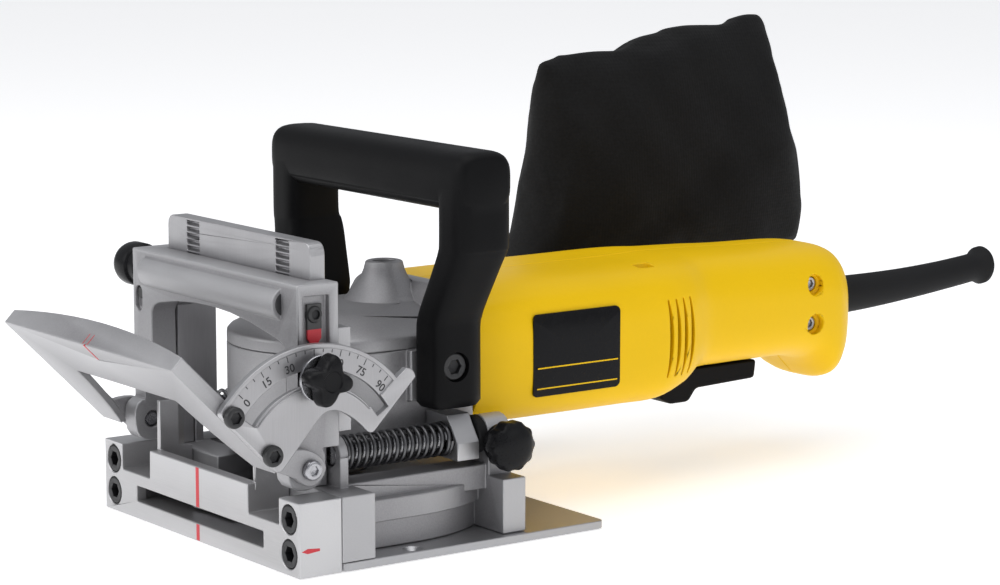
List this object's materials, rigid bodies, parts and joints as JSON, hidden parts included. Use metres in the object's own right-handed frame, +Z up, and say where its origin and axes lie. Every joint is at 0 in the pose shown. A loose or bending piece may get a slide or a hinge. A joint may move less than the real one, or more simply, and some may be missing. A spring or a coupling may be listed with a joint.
{
  "type": "biscuit joiner",
  "caption": "Handheld biscuit joiner: plunging motor unit on spring-loaded guide rods, tilting fence with angle scale, D-handle and dust bag.",
  "frame": {"origin": "on the underside of the sole, on the centre plane, directly below the spindle axis with the cutter retracted", "axes": "+X to the tool's left, +Y to the rear along the motor, +Z up from the sole; the nose faces -Y"},
  "size_m": [0.1671, 0.4336, 0.173],
  "materials": {
    "cast_aluminium": "bead-blasted casting, machined on its working faces",
    "machined_aluminium": "milled, fine brushed",
    "sole_steel": "ground plate",
    "steel": "machined",
    "blackened_steel": "black oxide",
    "black_plastic": "fine textured moulding",
    "yellow_plastic": "semi-gloss moulding",
    "label_film": "glossy film",
    "red_paint": "satin",
    "rubber": "matt",
    "bag_cloth": "dense black woven cloth",
    "copper": "turned copper"
  },
  "bodies": {
    "base": {"sole_plate": "sole_steel", "base_casting": "cast_aluminium", "front_block": "cast_aluminium", "rail_upright": "machined_aluminium", "nose_screw_lower_left": "blackened_steel", "nose_screw_lower_right": "blackened_steel", "nose_screw_upper_left": "blackened_steel", "nose_screw_upper_right": "blackened_steel", "guide_rod_left": "steel", "guide_rod_right": "steel", "plunge_spring_left": "steel", "plunge_spring_right": "steel", "dust_spout": "black_plastic", "bag_collar": "black_plastic", "dust_bag": "bag_cloth"},
    "depth_selector": {"depth_knob": "black_plastic"},
    "motor_unit": {"gear_case": "cast_aluminium", "gear_cover": "cast_aluminium", "slide_lug_left": "machined_aluminium", "slide_lug_right": "machined_aluminium", "handle": "black_plastic", "handle_screw_left": "blackened_steel", "handle_screw_right": "blackened_steel", "housing_left": "yellow_plastic", "housing_right": "yellow_plastic", "housing_screw_upper": "steel", "housing_screw_lower": "steel", "label_plate": "label_film", "cord_protector": "rubber", "stator": "steel", "brush_ring": "black_plastic", "switch_body": "black_plastic", "spindle_bearing_lower": "steel", "spindle_bearing_upper": "steel", "motor_bearing_front": "steel", "motor_bearing_rear": "steel"},
    "spindle_lock": {"lock_button": "black_plastic"},
    "switch": {"switch_paddle": "black_plastic"},
    "cutter": {"spindle": "steel", "blade": "steel", "blade_flange": "steel", "blade_nut": "blackened_steel", "bevel_gear": "steel"},
    "armature": {"armature_shaft": "steel", "drive_pinion": "steel", "rotor_core": "steel", "commutator": "copper", "cooling_fan": "black_plastic"},
    "carriage": {"fence_carriage": "cast_aluminium", "angle_pointer": "red_paint", "pivot_screw_left": "steel", "pivot_screw_right": "steel"},
    "height_adjuster": {"pinion_shaft": "steel", "height_knob": "black_plastic"},
    "tilting_fence": {"fence": "cast_aluminium", "sector_plate": "machined_aluminium", "sector_screw_lower": "blackened_steel", "sector_screw_upper": "blackened_steel"},
    "bevel_lock": {"bevel_washer": "steel", "bevel_knob": "black_plastic"}
  },
  "joints": [
    {"name": "plunge", "type": "slide", "parent": "base", "child": "motor_unit", "axis": [0, -1, 0], "range_m": [0, 0.025], "stiffness_N_per_m": 350, "springref_m": -0.02, "deforming": ["plunge_spring_left", "plunge_spring_right"]},
    {"name": "cutter_spin", "type": "hinge", "parent": "motor_unit", "child": "cutter", "pos_m": [0, 0, 0.05], "axis": [0, 0, 1], "continuous": true},
    {"name": "armature_spin", "type": "hinge", "parent": "motor_unit", "child": "armature", "pos_m": [0, 0.087, 0.061], "axis": [0, 1, 0], "continuous": true},
    {"name": "lock_press", "type": "slide", "parent": "motor_unit", "child": "spindle_lock", "axis": [0, 0, -1], "range_m": [0, 0.004], "stiffness_N_per_m": 400, "springref_m": -0.003},
    {"name": "switch_squeeze", "type": "hinge", "parent": "motor_unit", "child": "switch", "pos_m": [0, 0.149, 0.038], "axis": [1, 0, 0], "range_deg": [0, 5], "stiffness_Nm_per_rad": 1.5, "springref_deg": -5.73},
    {"name": "fence_height", "type": "slide", "parent": "base", "child": "carriage", "axis": [0, 0, 1], "range_m": [0, 0.014]},
    {"name": "height_knob_turn", "type": "hinge", "parent": "carriage", "child": "height_adjuster", "pos_m": [0, -0.04205, 0.092], "axis": [-1, 0, 0], "range_deg": [-5, 190]},
    {"name": "fence_tilt", "type": "hinge", "parent": "carriage", "child": "tilting_fence", "pos_m": [0, -0.046, 0.0358], "axis": [1, 0, 0], "range_deg": [-45, 45]},
    {"name": "bevel_knob_turn", "type": "hinge", "parent": "carriage", "child": "bevel_lock", "pos_m": [0.07, -0.046, 0.0688], "axis": [1, 0, 0], "range_deg": [0, 180]},
    {"name": "depth_select", "type": "hinge", "parent": "base", "child": "depth_selector", "pos_m": [0.06, 0.036, 0.035], "axis": [1, 0, 0], "range_deg": [-120, 120]}
  ],
  "couplings": [
    {"joint": "cutter_spin", "follows": "armature_spin", "ratio": 0.33333},
    {"joint": "height_knob_turn", "follows": "fence_height", "rad_per_m": 222.22}
  ]
}
